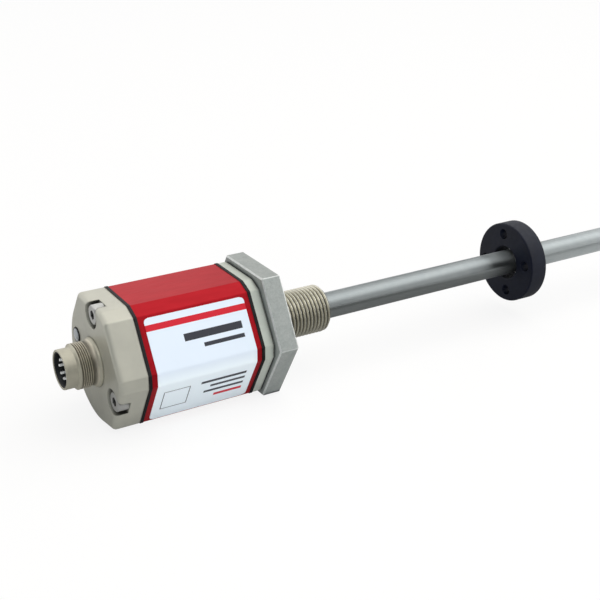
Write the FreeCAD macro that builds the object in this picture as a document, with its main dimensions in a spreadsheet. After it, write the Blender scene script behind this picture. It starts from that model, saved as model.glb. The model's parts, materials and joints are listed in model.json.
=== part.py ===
"""Magnetostrictive position sensor with a screw-in flange, a pressure rod and a ring magnet.

Frame: origin where the rod's axis crosses the flange's mounting face, +X along the rod
towards its tip, +Z up. The label side of the housing looks towards -Y. Millimetres.
"""
import FreeCAD, Part
import math
import os
import re
import Sketcher
from FreeCAD import Placement, Rotation, Vector

doc = FreeCAD.newDocument("position_sensor")

# Driving sizes, in mm
SIZES = [
    # process flange
    ("flange_width", 46, "hexagon across flats"),
    ("flange_depth", 7.5, "hexagon thickness"),
    ("flange_edge", 0.5, "bevel round both faces of the hexagon"),
    ("thread_size", 18, "screw-in thread, major diameter"),
    ("thread_length", 25, "from the mounting face to the end of the stub"),
    ("thread_lead", 1.2, "bevel at the end of the stub"),
    ("thread_count", 14, "full turns of the screw-in thread"),
    ("thread_land", 0.2, "plain land between the undercut and the first turn"),
    ("thread_crest", 0.3, "flat on each crest of the thread"),
    ("thread_rise", 0.8, "height of the thread, with flanks at 30 degrees"),
    ("relief_size", 15.4, "undercut that holds the port seal"),
    ("relief_length", 2.6, "undercut in front of the face"),
    ("face_relief_size", 21, "shallow recess round the port seal"),
    ("face_relief_depth", 0.4, "shallow recess round the port seal"),
    ("seal_cord", 2.1, "port seal section"),
    ("spigot_size", 14, "rear spigot through the cover"),
    ("spigot_end", 5.5, "spigot past the cover"),
    # rod and magnet track
    ("rod_size", 10, "pressure tube outside"),
    ("rod_bore", 7, "pressure tube inside"),
    ("rod_seat", 6, "tube pressed into the flange behind its face"),
    ("null_zone", 51, "mounting face to the start of the stroke"),
    ("stroke", 150, "electrical stroke"),
    ("dead_zone", 63.5, "end of the stroke to the rod's tip"),
    ("tip_length", 3, "welded end plug outside the tube"),
    ("tip_spigot", 4, "end plug inside the tube"),
    ("tip_edge", 1, "bevel on the end plug"),
    ("weld_gap", 0.05, "radial clearance of pressed and welded seats"),
    # housing section, as seen along the rod
    ("top_height", 20.9, "top facet above the axis"),
    ("top_front", 6.8, "front end of the top facet"),
    ("corner_drop", 2.2, "top of the label facet, below the top facet"),
    ("label_top_out", 11.9, "top of the label facet, distance to the front"),
    ("label_low_out", 22.4, "foot of the label facet, distance to the front"),
    ("label_low_height", 1.5, "foot of the label facet, height"),
    ("nose_drop", 3.1, "lower edge of the front nose facet, below the axis"),
    ("foot_out", 12.5, "lowest front corner, distance to the front"),
    ("back_radius", 22.3, "round back of the housing"),
    ("top_slope", 35, "degrees from the horizontal to the round back's upper end"),
    ("foot_slope", 8, "degrees from straight down to the round back's lower end"),
    ("corner_round", 0.7, "rounding of the housing's long corners"),
    # housing stack along the axis
    ("cover_depth", 4, "cover plate behind the flange"),
    ("shadow_gap", 0.6, "recessed step between cover and flange"),
    ("shadow_inset", 0.45, "step inside the cover's outline"),
    ("gasket_depth", 1.15, "each housing gasket"),
    ("gasket_proud", 0.18, "gaskets beyond the housing's outline"),
    ("shell_length", 41.6, "extruded housing shell"),
    ("shell_wall", 1.7, "thinnest wall of the shell"),
    ("cap_depth", 10.2, "end cap"),
    ("cap_edge", 1.8, "rounded front rim of the end cap"),
    # fasteners
    ("channel_cover", 0.3, "thinnest cover over a screw channel's boss"),
    ("boss_size", 6.6, "screw channels in the shell"),
    ("screw_size", 4, "cap and cover screws"),
    ("screw_gap", 0.05, "radial clearance of a screw in its thread"),
    ("screw_point", 0.5, "bevel at a screw's end"),
    ("fine_edge", 0.3, "bevel on screw heads and sleeves"),
    ("screw_hole", 4.5, "clearance holes"),
    ("screw_head", 7, "socket head diameter"),
    ("screw_head_depth", 4, "socket head height"),
    ("screw_grip", 10, "cap screw length inside the shell"),
    ("key_size", 3, "socket across flats"),
    ("key_depth", 2, "socket depth"),
    ("pocket_size", 9.6, "round pocket for a cap screw"),
    ("pocket_depth", 4.5, "pocket depth"),
    ("sink_size", 5.9, "reduced countersunk head of a cover screw"),
    ("sink_depth", 1.4, "countersunk head height"),
    ("sink_grip", 7, "cover screw length inside the shell"),
    ("seat_gap", 0.1, "clearance at a screw's seat and round inner parts"),
    # connector
    ("cap_recess_size", 22.4, "recess behind the cap's front wall"),
    ("cap_wall", 3.2, "front wall of the end cap"),
    ("plug_thread", 16, "coupling thread, major diameter"),
    ("plug_sleeve", 14, "front sleeve outside"),
    ("plug_bore", 12.4, "front sleeve inside"),
    ("plug_length", 12.3, "connector in front of the cap"),
    ("sleeve_length", 4.2, "front sleeve"),
    ("shoulder_length", 0.9, "plain ring ahead of the coupling thread"),
    ("plug_thread_length", 4, "coupling thread length"),
    ("neck_size", 15.2, "undercut behind the coupling thread"),
    ("neck_length", 0.7, "undercut width"),
    ("collar_size", 17.4, "collar that bears on the cap"),
    ("collar_depth", 0.8, "collar thickness"),
    ("tail_size", 14, "threaded tail inside the cap"),
    ("tail_length", 8.6, "tail behind the cap's front face"),
    ("socket_depth", 8.6, "front rim to the insert's face"),
    ("pin_size", 1, "contact pins"),
    ("pin_circle", 7, "contact pins on this circle"),
    ("pin_recess", 1, "pin tips behind the front rim"),
    ("pin_tail", 2.5, "pins behind the insert"),
    ("nut_wall", 1.5, "connector nut's wall at its flats"),
    ("nut_depth", 3, "connector nut"),
    ("washer_rim", 2.5, "sealing washer, bore to rim"),
    ("washer_depth", 1, "sealing washer"),
    ("clamp_width", 19, "flange nut across flats"),
    ("clamp_depth", 4, "flange nut"),
    # status light
    ("lens_size", 5.6, "light window with its ring"),
    ("lens_margin", 6.6, "middle of the light window inside the round back"),
    ("lens_turn", 15, "degrees from the horizontal to the light window, on the far side"),
    ("lens_depth", 3, "light window thickness"),
    ("lamp_size", 4, "lamp behind the window"),
    ("lamp_depth", 6, "lamp length"),
    ("lamp_foot", 1, "wider foot of the lamp"),
    # label
    ("label_start", 2, "shell end to the label's near edge, both ends"),
    ("label_skin", 0.15, "label thickness"),
    ("label_top_margin", 1.1, "label below the top of its facet"),
    ("label_foot_margin", 0.7, "label above the lowest corner"),
    ("label_corner", 1.6, "rounded label corners"),
    # electronics
    ("chassis_gap", 0.3, "chassis plates to the screw channels"),
    ("chassis_plate", 2.4, "chassis plate thickness"),
    ("chassis_margin", 1, "chassis plates inside the shell's ends"),
    ("board_inset", 2.2, "board's edges inside the chassis plates"),
    ("board_skin", 1.6, "circuit board"),
    ("chassis_eye", 9.2, "opening in the chassis plates"),
    ("rail_width", 2, "rails under the board"),
    ("rail_depth", 2, "rails under the board"),
    ("rail_inset", 1, "rails from the board's edges"),
    ("head_margin", 0.5, "pickup from the front plate"),
    ("head_length", 11, "pickup bobbin"),
    ("head_width", 9, "pickup bobbin flanges"),
    ("head_flange", 1.2, "pickup bobbin flanges"),
    ("head_core", 4, "pickup bobbin core"),
    ("coil_size", 7.6, "pickup winding"),
    ("bias_width", 3, "bias magnet, square"),
    ("bias_length", 6, "bias magnet"),
    ("can_height", 5, "shield can over the amplifier"),
    ("can_width", 12, "shield can"),
    ("can_skin", 0.3, "shield can wall"),
    ("lead_size", 1.1, "connector leads"),
    ("terminal_margin", 1.5, "lead terminal from the rear plate"),
    ("terminal_depth", 3, "lead terminal"),
    ("terminal_width", 8.6, "lead terminal"),
    ("part_gap", 0.6, "spacing of parts on the board"),
    ("chip_size", 7, "processor, square"),
    ("chip_height", 1.2, "chips"),
    ("capacitor_size", 5, "capacitors"),
    ("capacitor_height", 6, "capacitors"),
    # waveguide inside the rod
    ("guide_size", 0.8, "waveguide wire"),
    ("guide_rear", 31, "waveguide behind the mounting face"),
    ("sleeve_size", 3, "waveguide sleeve outside"),
    ("sleeve_bore", 1.4, "waveguide sleeve inside"),
    ("spacer_size", 6.6, "spacers in the tube"),
    ("spacer_length", 6, "spacers in the tube"),
    ("spacer_count", 5, "spacers in the tube"),
    ("damper_length", 14, "damper at the end of the waveguide"),
    ("contact_depth", 2, "end contact"),
    ("end_clearance", 4, "end contact to the end plug"),
    ("return_size", 0.6, "return conductor"),
    ("return_offset", 2.3, "return conductor above the axis"),
    ("thread_gap", 0.15, "radial clearance of thin parts in their seats"),
    # position magnet
    ("ring_size", 33, "ring magnet outside"),
    ("ring_bore", 13.5, "ring magnet inside"),
    ("ring_depth", 8, "ring magnet thickness"),
    ("ring_edge", 0.6, "rounded ring edges"),
    ("ring_at", 120.5, "centre of the ring magnet at rest"),
    ("ring_hole", 4.3, "fixing holes"),
    ("ring_circle", 24, "fixing holes on this circle"),
    ("ring_turn", 10, "fixing holes turned about the axis"),
]

sheet = doc.addObject("Spreadsheet::Sheet", "Dim")
for row, (name, number, note) in enumerate(SIZES, 1):
    sheet.set("A%d" % row, note)
    sheet.set("B%d" % row, str(number))
    sheet.setAlias("B%d" % row, name)
doc.recompute()

NAMES = re.compile(r"\b(%s)\b" % "|".join(name for name, _, _ in SIZES))

# Places along the axis, each built on the one before
HEX_REAR = "-flange_depth"
COVER_REAR = HEX_REAR + " - cover_depth"
SHELL_FRONT = COVER_REAR + " - gasket_depth"
SHELL_REAR = SHELL_FRONT + " - shell_length"
CAP_SEAT = SHELL_REAR + " - gasket_depth"
CAP_FACE = CAP_SEAT + " - cap_depth"
PLUG_RIM = CAP_FACE + " - plug_length"
INSERT_FACE = PLUG_RIM + " + socket_depth"
TAIL_END = CAP_FACE + " + tail_length"
TIP = "null_zone + stroke + dead_zone"
TUBE_END = TIP + " - tip_length"
GUIDE_END = TUBE_END + " - tip_spigot - end_clearance"


def facet_reach(out_a, up_a, out_b, up_b):
    """Distance from the axis to the facet through two corners."""
    across = "(%s) * (%s) - (%s) * (%s)" % (out_a, up_b, out_b, up_a)
    length = "sqrt(((%s) - (%s)) ^ 2 + ((%s) - (%s)) ^ 2)" % (out_a, out_b, up_a, up_b)
    return "abs(%s) / %s" % (across, length)


# Housing section: corners and room inside that follow from the sizes above
TOP_BACK = "(back_radius - top_height * sin(top_slope)) / cos(top_slope)"
FOOT_DROP = "(back_radius - foot_out * sin(foot_slope)) / cos(foot_slope)"
LABEL_TOP = "(top_height - corner_drop)"
LABEL_REACH = facet_reach("label_top_out", LABEL_TOP, "label_low_out", "label_low_height")
FOOT_REACH = facet_reach("label_low_out", "-nose_drop", "foot_out", "-" + FOOT_DROP)
SCREW_REACH = "(min(top_height; back_radius; %s) - boss_size / 2 - channel_cover)" % FOOT_REACH
CORNERS = [
    (TOP_BACK, "top_height"),
    ("-top_front", "top_height"),
    ("-label_top_out", LABEL_TOP),
    ("-label_low_out", "label_low_height"),
    ("-label_low_out", "-nose_drop"),
    ("-foot_out", "-(%s)" % FOOT_DROP),
]
INSIDE = "min(top_height; back_radius; %s; %s) - shell_wall" % (LABEL_REACH, FOOT_REACH)
SHELL_BORE = "(2 * (%s))" % INSIDE
CHASSIS_SIZE = "(2 * (%s - boss_size / 2 - chassis_gap))" % SCREW_REACH
BOARD_WIDTH = "(%s - 2 * board_inset)" % CHASSIS_SIZE


def value(text):
    """Number that an expression in sheet names stands for."""
    return float(sheet.evalExpression(text))


def bind(thing, prop, text):
    """Tie a property to an expression written in sheet names."""
    thing.setExpression(prop, NAMES.sub(r"Dim.\1", text))


def minus(text):
    return "-(%s)" % text


# Sketches
def plane(body, role):
    return next(f for f in body.Origin.OriginFeatures if f.Role == role)


def new_body(label):
    body = doc.addObject("PartDesign::Body", label)
    body.Label = label
    return body


def sketch_on(body, role, offset="0"):
    """Sketch on one of the body's own origin planes, moved along its normal."""
    sketch = body.newObject("Sketcher::SketchObject", body.Label + "_sketch")
    sketch.AttachmentSupport = (plane(body, role), "")
    sketch.MapMode = "FlatFace"
    if offset != "0":
        bind(sketch, "AttachmentOffset.Base.z", offset)
    doc.recompute()
    return sketch


def hold(sketch, edge, point, across, up):
    """Fix a point at two expressions, measured from the sketch's origin."""
    for kind, text, axis in (("DistanceX", across, -2), ("DistanceY", up, -1)):
        if text == "0":
            sketch.addConstraint(Sketcher.Constraint("PointOnObject", edge, point, axis))
            continue
        index = sketch.addConstraint(Sketcher.Constraint(kind, -1, 1, edge, point, value(text)))
        bind(sketch, "Constraints[%d]" % index, text)


def polygon(sketch, corners):
    """Closed outline through corners given as pairs of expressions."""
    points = [Vector(value(across), value(up), 0) for across, up in corners]
    count = len(points)
    first = sketch.GeometryCount
    for i in range(count):
        sketch.addGeometry(Part.LineSegment(points[i], points[(i + 1) % count]))
    for i in range(count):
        joint = Sketcher.Constraint("Coincident", first + i, 2, first + (i + 1) % count, 1)
        sketch.addConstraint(joint)
    for i, (across, up) in enumerate(corners):
        hold(sketch, first + i, 1, across, up)


def circle(sketch, diameter, across="0", up="0"):
    centre = Vector(value(across), value(up), 0)
    edge = sketch.addGeometry(Part.Circle(centre, Vector(0, 0, 1), value(diameter) / 2))
    index = sketch.addConstraint(Sketcher.Constraint("Diameter", edge, value(diameter)))
    bind(sketch, "Constraints[%d]" % index, diameter)
    hold(sketch, edge, 3, across, up)


def housing_outline(sketch, grow="1"):
    """The housing's section: five front facets and a round back, optionally scaled."""
    corners = CORNERS
    if grow != "1":
        corners = [("(%s) * (%s)" % (a, grow), "(%s) * (%s)" % (b, grow)) for a, b in CORNERS]
    radius = "back_radius * (%s)" % grow
    points = [Vector(value(a), value(b), 0) for a, b in corners]
    reach = value(radius)
    start_angle = math.radians(-90 - value("foot_slope"))
    end_angle = math.radians(value("top_slope"))
    start = Vector(reach * math.cos(start_angle), reach * math.sin(start_angle), 0)
    end = Vector(reach * math.cos(end_angle), reach * math.sin(end_angle), 0)
    first = sketch.GeometryCount
    for a, b in zip(points, points[1:]):
        sketch.addGeometry(Part.LineSegment(a, b))
    sketch.addGeometry(Part.LineSegment(points[-1], start))
    round_back = Part.Circle(Vector(0, 0, 0), Vector(0, 0, 1), reach)
    sketch.addGeometry(Part.ArcOfCircle(round_back, start_angle, end_angle))
    sketch.addGeometry(Part.LineSegment(end, points[0]))
    lower, arc, upper = first + 5, first + 6, first + 7
    for i in range(first, lower):
        sketch.addConstraint(Sketcher.Constraint("Coincident", i, 2, i + 1, 1))
    sketch.addConstraint(Sketcher.Constraint("Tangent", lower, 2, arc, 1))
    sketch.addConstraint(Sketcher.Constraint("Tangent", arc, 2, upper, 1))
    sketch.addConstraint(Sketcher.Constraint("Coincident", upper, 2, first, 1))
    sketch.addConstraint(Sketcher.Constraint("Coincident", arc, 3, -1, 1))
    index = sketch.addConstraint(Sketcher.Constraint("Radius", arc, reach))
    bind(sketch, "Constraints[%d]" % index, radius)
    for i, (across, up) in enumerate(corners):
        hold(sketch, first + i, 1, across, up)


# Features
def pad(body, sketch, length):
    feature = body.newObject("PartDesign::Pad", "Pad")
    feature.Profile = sketch
    bind(feature, "Length", length)
    doc.recompute()
    return feature


def pocket(body, sketch, depth, ahead=True):
    """Cut along the sketch's normal (ahead) or against it; the volume must fall."""
    before = body.Shape.Volume
    feature = body.newObject("PartDesign::Pocket", "Pocket")
    feature.Profile = sketch
    feature.Reversed = ahead
    bind(feature, "Length", depth)
    doc.recompute()
    if not body.Shape.Volume < before - 1e-6:
        raise RuntimeError(body.Label + ": a pocket cuts nothing")
    return feature


def turned(label, profile):
    """Turned piece: a half section of (place along the axis, radius) spun about X."""
    body = new_body(label)
    sketch = sketch_on(body, "XZ_Plane")
    polygon(sketch, profile)
    spin = body.newObject("PartDesign::Revolution", "Revolution")
    spin.Profile = sketch
    spin.ReferenceAxis = (sketch, ["H_Axis"])
    spin.Angle = 360
    doc.recompute()
    return body


def tube(label, start, end, outside, inside=None):
    """Round bar or tube between two places on the axis."""
    inner = "0" if inside is None else inside + " / 2"
    outer = outside + " / 2"
    return turned(label, [(start, inner), (end, inner), (end, outer), (start, outer)])


def edges_at(shape, place, straight):
    """Names of the edges that lie wholly in the plane x = place."""
    return ["Edge%d" % i for i, edge in enumerate(shape.Edges, 1)
            if all(abs(v.X - place) < 1e-4 for v in edge.Vertexes)
            and not (straight and edge.Curve.TypeId != "Part::GeomLine")]


def dress(body, kind, prop, size, place, straight=False):
    """Fillet or chamfer the edges in the plane x = place, or only the straight ones."""
    base = body.Tip
    feature = body.newObject("PartDesign::" + kind, kind)
    feature.Base = (base, edges_at(base.Shape, place, straight))
    bind(feature, prop, size)
    doc.recompute()
    return feature


def soften(body, grow="1"):
    """Round the long edges at the corners of the housing's outline."""
    spots = [(value(a) * value(grow), value(b) * value(grow)) for a, b in CORNERS]

    def at_corner(edge):
        ends = [v.Point for v in edge.Vertexes]
        return (len(ends) == 2 and abs(ends[0].x - ends[1].x) > 1e-4
                and any(all(math.hypot(e.y - y, e.z - z) < 1e-4 for e in ends) for y, z in spots))

    base = body.Tip
    feature = body.newObject("PartDesign::Fillet", "Fillet")
    names = ["Edge%d" % i for i, edge in enumerate(base.Shape.Edges, 1) if at_corner(edge)]
    feature.Base = (base, names)
    bind(feature, "Radius", "corner_round")
    doc.recompute()


def copies(label, source, places):
    """One node for identical pieces: the source piece set at each placement."""
    group = doc.addObject("Part::Feature", label)
    group.Label = label
    group.Shape = Part.makeCompound([source.Shape.transformed(p.toMatrix()) for p in places])
    group.Placement = Placement()
    return group


def hexagon(sketch, across_flats, flat_up=True):
    """Regular hexagon; flat_up lays two flats level."""
    half = across_flats + " / 2"
    corner = across_flats + " / sqrt(3)"
    part = corner + " / 2"
    ring = [("-" + corner, "0"), ("-" + part, "-" + half), (part, "-" + half),
            (corner, "0"), (part, half), ("-" + part, half)]
    polygon(sketch, ring if flat_up else [(b, a) for a, b in reversed(ring)])


# Screw channels sit behind the top facet, the lower front facet and the round back
SCREW_TURNS = (0, 120, 240)


def screw_circles(sketch, diameter):
    for turn in SCREW_TURNS:
        across = "%s * sin(%d)" % (SCREW_REACH, turn) if turn else "0"
        circle(sketch, diameter, across, "%s * cos(%d)" % (SCREW_REACH, turn))


def channels(body, diameter, start, length):
    """Three round holes at the screw places, cut towards +X."""
    sketch = sketch_on(body, "YZ_Plane", start)
    screw_circles(sketch, diameter)
    return pocket(body, sketch, length)


THREAD_START = "relief_length + thread_land"
THREAD_PITCH = "((thread_length - thread_lead - (%s)) / thread_count)" % THREAD_START


def thread_turn(number):
    """Four corners of one groove of the screw-in thread, from its far side to its near side."""
    near = THREAD_START + " + %d * %s" % (number, THREAD_PITCH)
    far = THREAD_START + " + %d * %s - thread_crest" % (number + 1, THREAD_PITCH)
    root = "thread_size / 2 - thread_rise"
    return [(far, "thread_size / 2"), (far + " - thread_rise * tan(30)", root),
            (near + " + thread_rise * tan(30)", root), (near, "thread_size / 2")]


# Process flange: hexagon, screw-in stub and rear spigot, turned and milled in one piece. The
# stub's thread is cut as plain rings, which keep its crests, roots and pitch.
thread_profile = []
for number in reversed(range(int(value("thread_count")))):
    thread_profile += thread_turn(number)
flange = turned("process_flange", [
    (HEX_REAR + " - cover_depth - spigot_end", "rod_bore / 2"),
    ("-rod_seat", "rod_bore / 2"),
    ("-rod_seat", "rod_size / 2 + weld_gap"),
    ("thread_length", "rod_size / 2 + weld_gap"),
    ("thread_length", "thread_size / 2 - thread_lead"),
    ("thread_length - thread_lead", "thread_size / 2"),
    *thread_profile,
    ("relief_length", "thread_size / 2"),
    ("relief_length", "relief_size / 2"),
    ("-flange_depth / 2", "relief_size / 2"),
    (HEX_REAR, "spigot_size / 2"),
    (HEX_REAR + " - cover_depth - spigot_end", "spigot_size / 2"),
])
hex_sketch = sketch_on(flange, "YZ_Plane", HEX_REAR)
hexagon(hex_sketch, "flange_width")
circle(hex_sketch, "rod_size + 2 * weld_gap")
pad(flange, hex_sketch, "flange_depth")
for face in (HEX_REAR, "0"):
    dress(flange, "Chamfer", "Size", "flange_edge", value(face), straight=True)
face_relief = sketch_on(flange, "YZ_Plane", "-face_relief_depth")
circle(face_relief, "face_relief_size")
circle(face_relief, "relief_size")
pocket(flange, face_relief, "face_relief_depth")

flange_seal = doc.addObject("Part::Torus", "port_seal")
flange_seal.Label = "port_seal"
bind(flange_seal, "Radius1", "relief_size / 2 + seal_cord / 2 + weld_gap")
bind(flange_seal, "Radius2", "seal_cord / 2")
flange_seal.Placement = Placement(Vector(), Rotation(Vector(0, 1, 0), 90))
bind(flange_seal, "Placement.Base.x", "seal_cord / 2 + weld_gap - face_relief_depth")

# Pressure rod and what it carries
rod = tube("pressure_tube", "-rod_seat", TUBE_END, "rod_size", "rod_bore")
rod_tip = turned("rod_end_plug", [
    (TUBE_END + " - tip_spigot", "0"),
    (TIP, "0"),
    (TIP, "rod_size / 2 - tip_edge"),
    (TIP + " - tip_edge", "rod_size / 2"),
    (TUBE_END, "rod_size / 2"),
    (TUBE_END, "rod_bore / 2 - weld_gap"),
    (TUBE_END + " - tip_spigot", "rod_bore / 2 - weld_gap"),
])

# Waveguide, from the pickup in the housing to its damper near the tip
waveguide = tube("waveguide_wire", "-guide_rear", GUIDE_END, "guide_size")
DAMPER_START = GUIDE_END + " - contact_depth - damper_length"
guide_sleeve = tube("waveguide_sleeve", "-rod_seat", DAMPER_START, "sleeve_size", "sleeve_bore")


def disc_with_eyes(label, start, length, eye):
    """Disc in the tube with an eye on the axis and one for the return conductor."""
    body = new_body(label)
    sketch = sketch_on(body, "YZ_Plane", start)
    circle(sketch, "spacer_size")
    circle(sketch, eye)
    pad(body, sketch, length)
    groove = sketch_on(body, "YZ_Plane", start)
    side = "return_size / 2 + thread_gap"
    floor = "return_offset - return_size / 2 - thread_gap"
    polygon(groove, [("-(%s)" % side, floor), (side, floor),
                     (side, "spacer_size"), ("-(%s)" % side, "spacer_size")])
    pocket(body, groove, length)
    return body


SPACER_GAP = "(%s + rod_seat - spacer_length) / spacer_count" % DAMPER_START
spacer = disc_with_eyes("spacer", "-rod_seat", "spacer_length", "sleeve_size + 2 * thread_gap")
spacers = copies("tube_spacers", spacer, [
    Placement(Vector(value(SPACER_GAP) * i, 0, 0), Rotation())
    for i in range(int(value("spacer_count")))])
damper = disc_with_eyes("waveguide_damper", DAMPER_START, "damper_length",
                        "guide_size + 2 * weld_gap")
end_contact = disc_with_eyes("end_contact", GUIDE_END + " - contact_depth", "contact_depth",
                             "guide_size + 2 * weld_gap")

# Cover plate between flange and shell
cover = new_body("flange_cover")
cover_sketch = sketch_on(cover, "YZ_Plane", COVER_REAR)
housing_outline(cover_sketch)
circle(cover_sketch, "spigot_size + 2 * seat_gap")
pad(cover, cover_sketch, "cover_depth - shadow_gap")
soften(cover)
step_sketch = sketch_on(cover, "YZ_Plane", HEX_REAR + " - shadow_gap")
housing_outline(step_sketch, "1 - shadow_inset / back_radius")
circle(step_sketch, "spigot_size + 2 * seat_gap")
pad(cover, step_sketch, "shadow_gap")
channels(cover, "screw_hole", COVER_REAR, "cover_depth")
SINK_FLOOR = HEX_REAR + " - sink_depth - seat_gap"
sink_sketch = sketch_on(cover, "YZ_Plane", SINK_FLOOR)
screw_circles(sink_sketch, "sink_size + 2 * seat_gap")
pocket(cover, sink_sketch, "sink_depth + seat_gap")

# Clamping nut that holds the flange to the cover, inside the shell
clamp_nut = new_body("flange_nut")
clamp_sketch = sketch_on(clamp_nut, "YZ_Plane", COVER_REAR + " - clamp_depth")
hexagon(clamp_sketch, "clamp_width")
circle(clamp_sketch, "spigot_size + 2 * weld_gap")
pad(clamp_nut, clamp_sketch, "clamp_depth")


# Extruded shell and its two gaskets share one section
def ring_section(label, start, length, grow, hole):
    """Housing outline round a bore, with the screw channels left standing in it."""
    body = new_body(label)
    outer = sketch_on(body, "YZ_Plane", start)
    housing_outline(outer, grow)
    circle(outer, SHELL_BORE)
    pad(body, outer, length)
    soften(body, grow)
    bosses = sketch_on(body, "YZ_Plane", start)
    screw_circles(bosses, "boss_size")
    pad(body, bosses, length)
    channels(body, hole, start, length)
    return body


shell = ring_section("housing_shell", SHELL_REAR, "shell_length", "1",
                     "screw_size + 2 * screw_gap")
SWELL = "1 + gasket_proud / back_radius"
gasket_near = ring_section("cap_gasket", CAP_SEAT, "gasket_depth", SWELL, "screw_hole")
gasket_far = ring_section("cover_gasket", SHELL_FRONT, "gasket_depth", SWELL, "screw_hole")

# End cap: rounded front rim, open screw pockets, recess behind the connector
cap = new_body("end_cap")
cap_sketch = sketch_on(cap, "YZ_Plane", CAP_FACE)
housing_outline(cap_sketch)
pad(cap, cap_sketch, "cap_depth")
soften(cap)
dress(cap, "Fillet", "Radius", "cap_edge", value(CAP_FACE))
recess = sketch_on(cap, "YZ_Plane", CAP_FACE + " + cap_wall")
circle(recess, "cap_recess_size")
pocket(cap, recess, "cap_depth")
opening = sketch_on(cap, "YZ_Plane", CAP_FACE)
circle(opening, "tail_size + 2 * seat_gap")
pocket(cap, opening, "cap_wall")
LENS_ACROSS = "(back_radius - lens_margin) * cos(lens_turn)"
LENS_UP = "(back_radius - lens_margin) * sin(lens_turn)"
lens_bore = sketch_on(cap, "YZ_Plane", CAP_FACE)
circle(lens_bore, "lens_size", LENS_ACROSS, LENS_UP)
pocket(cap, lens_bore, "cap_depth")
pocket_sketch = sketch_on(cap, "YZ_Plane", CAP_FACE)
screw_circles(pocket_sketch, "pocket_size")
pocket(cap, pocket_sketch, "pocket_depth")
channels(cap, "screw_hole", CAP_FACE, "cap_depth")

# Socket-head cap screws, seated on the pocket floors
SCREW_SEAT = CAP_FACE + " + pocket_depth"
SCREW_END = SHELL_REAR + " + screw_grip"
cap_screw = turned("cap_screw", [
    (SCREW_SEAT + " - screw_head_depth", "0"),
    (SCREW_END, "0"),
    (SCREW_END, "screw_size / 2 - screw_point"),
    (SCREW_END + " - screw_point", "screw_size / 2"),
    (SCREW_SEAT, "screw_size / 2"),
    (SCREW_SEAT, "screw_head / 2"),
    (SCREW_SEAT + " - screw_head_depth + fine_edge", "screw_head / 2"),
    (SCREW_SEAT + " - screw_head_depth", "screw_head / 2 - fine_edge"),
])
key_sketch = sketch_on(cap_screw, "YZ_Plane", SCREW_SEAT + " - screw_head_depth")
hexagon(key_sketch, "key_size", flat_up=False)
pocket(cap_screw, key_sketch, "key_depth")


def at_channel(turn):
    """Placement that takes a piece on the axis to a screw channel."""
    angle = math.radians(turn)
    reach = value(SCREW_REACH)
    return Placement(Vector(0, reach * math.sin(angle), reach * math.cos(angle)), Rotation())


cap_screws = copies("cap_screws", cap_screw, [at_channel(t) for t in SCREW_TURNS])

# Countersunk cover screws under the flange
SINK_END = SHELL_FRONT + " - sink_grip"
cover_screw = turned("cover_screw", [
    (SINK_END, "0"),
    (SINK_FLOOR + " + sink_depth", "0"),
    (SINK_FLOOR + " + sink_depth", "sink_size / 2"),
    (SINK_FLOOR, "screw_size / 2"),
    (SINK_END, "screw_size / 2"),
])
cover_screws = copies("cover_screws", cover_screw, [at_channel(t) for t in SCREW_TURNS])

# Round connector with coupling thread
THREAD_FRONT = PLUG_RIM + " + sleeve_length + shoulder_length"
THREAD_REAR = THREAD_FRONT + " + plug_thread_length"
connector = turned("connector_shell", [
    (PLUG_RIM, "plug_bore / 2"),
    (TAIL_END, "plug_bore / 2"),
    (TAIL_END, "tail_size / 2"),
    (CAP_FACE, "tail_size / 2"),
    (CAP_FACE, "collar_size / 2"),
    (CAP_FACE + " - collar_depth", "collar_size / 2"),
    (THREAD_REAR + " + neck_length", "neck_size / 2"),
    (THREAD_REAR, "neck_size / 2"),
    (THREAD_REAR, "plug_thread / 2"),
    (THREAD_FRONT + " - shoulder_length / 2", "plug_thread / 2"),
    (THREAD_FRONT + " - shoulder_length", "plug_sleeve / 2"),
    (PLUG_RIM + " + fine_edge", "plug_sleeve / 2"),
    (PLUG_RIM, "plug_sleeve / 2 - fine_edge"),
])
insert = new_body("connector_insert")
insert_sketch = sketch_on(insert, "YZ_Plane", INSERT_FACE)
circle(insert_sketch, "plug_bore - 2 * seat_gap")
PIN_TURNS = (-135, -90, -45, 0, 45, 90, 135)


def pin_circles(sketch, diameter):
    """Seven contacts 45 degrees apart, with the key's gap towards the front."""
    for turn in PIN_TURNS:
        up = "pin_circle / 2 * sin(%d)" % turn if turn else "0"
        across = "pin_circle / 2 * cos(%d)" % turn if abs(turn) != 90 else "0"
        circle(sketch, diameter, across, up)


pin_circles(insert_sketch, "pin_size + 2 * seat_gap")
pad(insert, insert_sketch, minus(INSERT_FACE) + " + (%s)" % TAIL_END)
pin = turned("pin", [
    (PLUG_RIM + " + pin_recess", "0"),
    (TAIL_END + " + pin_tail", "0"),
    (TAIL_END + " + pin_tail", "pin_size / 2"),
    (PLUG_RIM + " + pin_recess + pin_size / 4", "pin_size / 2"),
    (PLUG_RIM + " + pin_recess", "pin_size / 4"),
])


def at_pin(turn):
    angle = math.radians(turn)
    reach = value("pin_circle") / 2
    return Placement(Vector(0, reach * math.cos(angle), reach * math.sin(angle)), Rotation())


pins = copies("connector_pins", pin, [at_pin(t) for t in PIN_TURNS])
washer = tube("connector_washer", CAP_FACE + " + cap_wall",
              CAP_FACE + " + cap_wall + washer_depth", "(tail_size + 2 * washer_rim)",
              "(tail_size + 2 * seat_gap)")
nut = new_body("connector_nut")
nut_sketch = sketch_on(nut, "YZ_Plane", CAP_FACE + " + cap_wall + washer_depth")
hexagon(nut_sketch, "(tail_size + 2 * nut_wall)")
circle(nut_sketch, "tail_size + 2 * weld_gap")
pad(nut, nut_sketch, "nut_depth")

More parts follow.
